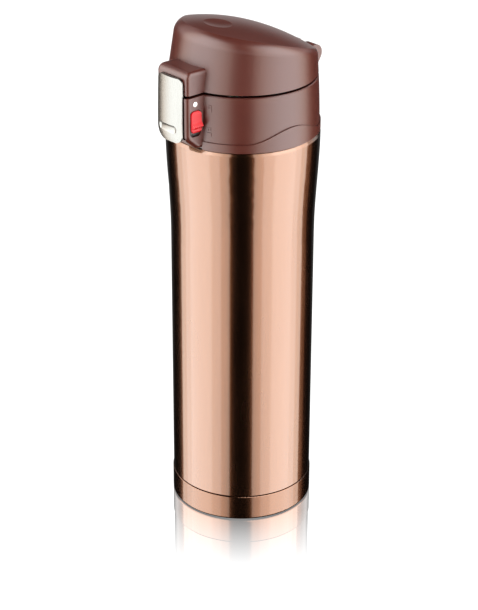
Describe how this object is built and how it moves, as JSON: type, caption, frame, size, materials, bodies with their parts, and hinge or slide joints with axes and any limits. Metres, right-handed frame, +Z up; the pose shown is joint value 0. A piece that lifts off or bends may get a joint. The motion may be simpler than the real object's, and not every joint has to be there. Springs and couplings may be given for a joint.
{
  "type": "insulated tumbler with lid",
  "caption": "Tall insulated drinking tumbler: double-walled steel bottle, screw-on cap unit with spout, flip lid on a rear hinge, rocker latch and slide lock.",
  "frame": {"origin": "centre of the base on the bottle's axis, on the surface the tumbler stands on", "axes": "+Z up along the bottle's axis; -Y towards the latch and the drinking side; +Y towards the lid's hinge; +X towards the lock button"},
  "size_m": [0.07, 0.0838, 0.2398],
  "materials": {
    "copper_steel": "brushed, copper tinted",
    "plain_steel": "satin, electropolished",
    "braze": "rough",
    "getter_metal": "matte",
    "copper_foil": "foil",
    "base_silicone": "matte",
    "clear_silicone": "matte, milky",
    "cap_inner_plastic": "satin",
    "brown_plastic": "satin",
    "pin_steel": "ground",
    "spring_steel": "drawn wire",
    "white_mark": "gloss",
    "silver_plate": "satin, plated",
    "mechanism_plastic": "satin",
    "red_plastic": "semi-gloss"
  },
  "bodies": {
    "vessel": {"outer_shell": "copper_steel", "inner_liner": "plain_steel", "vacuum_base": "plain_steel", "evacuation_seal": "braze", "getter": "getter_metal", "foil_wrap": "copper_foil", "base_cap": "copper_steel", "base_pad": "base_silicone"},
    "seal": {"mouth_seal": "clear_silicone"},
    "cap": {"stopper_core": "cap_inner_plastic", "collar": "brown_plastic", "collar_band": "brown_plastic", "spout": "cap_inner_plastic", "spout_gasket": "clear_silicone", "hinge_pin": "pin_steel", "latch_pin": "pin_steel", "torsion_spring": "spring_steel", "latch_spring": "spring_steel", "indicator_dot": "white_mark"},
    "lid": {"lid_shell": "brown_plastic", "lid_liner": "cap_inner_plastic", "lid_seal": "clear_silicone", "vent_seal": "clear_silicone"},
    "latch": {"latch_plate": "silver_plate", "latch_lever": "mechanism_plastic"},
    "lock": {"lock_slider": "red_plastic", "lock_bar": "mechanism_plastic"}
  },
  "joints": [
    {"name": "cap_rise", "type": "slide", "parent": "vessel", "child": "seal", "axis": [0, 0, 1], "range_m": [0, 0.0081]},
    {"name": "cap_turn", "type": "hinge", "parent": "seal", "child": "cap", "pos_m": [0, 0, 0.2], "axis": [0, 0, 1], "range_deg": [0, 720]},
    {"name": "lid_flip", "type": "hinge", "parent": "cap", "child": "lid", "pos_m": [0, 0.0354, 0.2166], "axis": [-1, 0, 0], "range_deg": [0, 110], "deforming": ["torsion_spring"]},
    {"name": "latch_press", "type": "hinge", "parent": "cap", "child": "latch", "pos_m": [0, -0.0374, 0.2096], "axis": [1, 0, 0], "range_deg": [0, 6], "stiffness_Nm_per_rad": 0.05, "springref_deg": -5.73, "deforming": ["latch_spring"]},
    {"name": "lock_slide", "type": "slide", "parent": "cap", "child": "lock", "axis": [0, 0, -1], "range_m": [0, 0.0018]}
  ],
  "couplings": [
    {"joint": "cap_rise", "follows": "cap_turn", "m_per_rad": 0.00063662}
  ]
}
